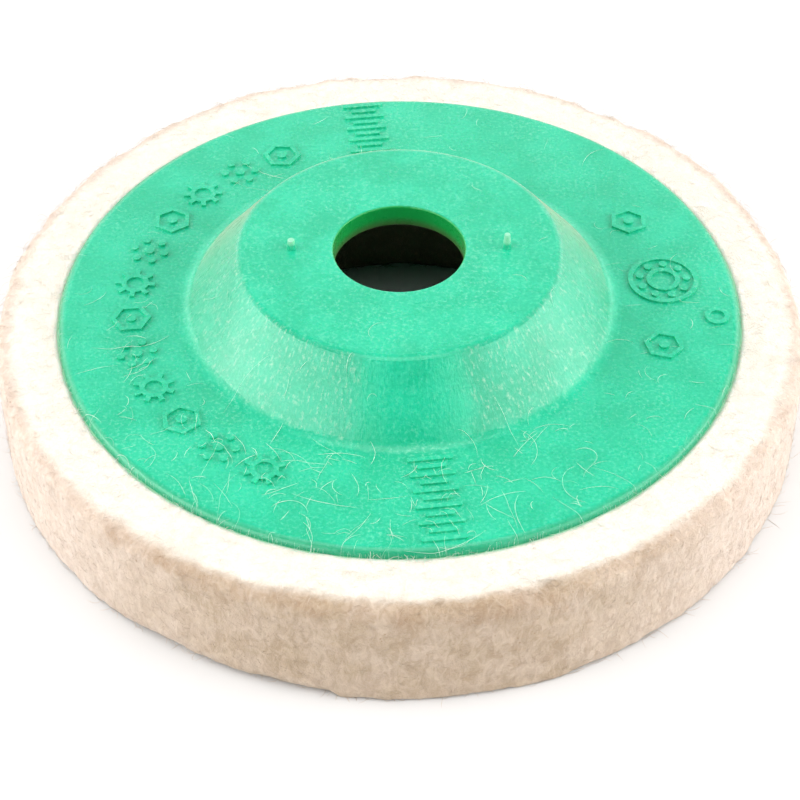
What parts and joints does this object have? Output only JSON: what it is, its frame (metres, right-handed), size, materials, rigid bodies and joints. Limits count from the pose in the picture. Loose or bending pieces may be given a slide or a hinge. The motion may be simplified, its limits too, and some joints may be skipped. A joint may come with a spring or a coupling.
{
  "type": "felt polishing wheel",
  "caption": "Thick pressed-wool felt ring bonded to a moulded plastic backing plate with a raised, hollow conical hub and a plain bore, for polishing stone and metal on an angle grinder.",
  "frame": {"origin": "on the bore's axis, in the plane of the felt's lower, working face", "axes": "+Z along the bore, from the felt's working face towards the hub and the grinder; +X towards the longer of the two gate stubs on the hub's top"},
  "size_m": [0.1, 0.1, 0.0269],
  "materials": {
    "green_plastic": "semi-gloss moulded polypropylene, mint green, slightly translucent",
    "cured_adhesive": "cured contact adhesive, amber",
    "wool_felt": "pressed undyed wool felt, fuzzy"
  },
  "bodies": {
    "root": {"backing_plate": "green_plastic", "bond_layer": "cured_adhesive", "felt_ring": "wool_felt"}
  },
  "joints": []
}
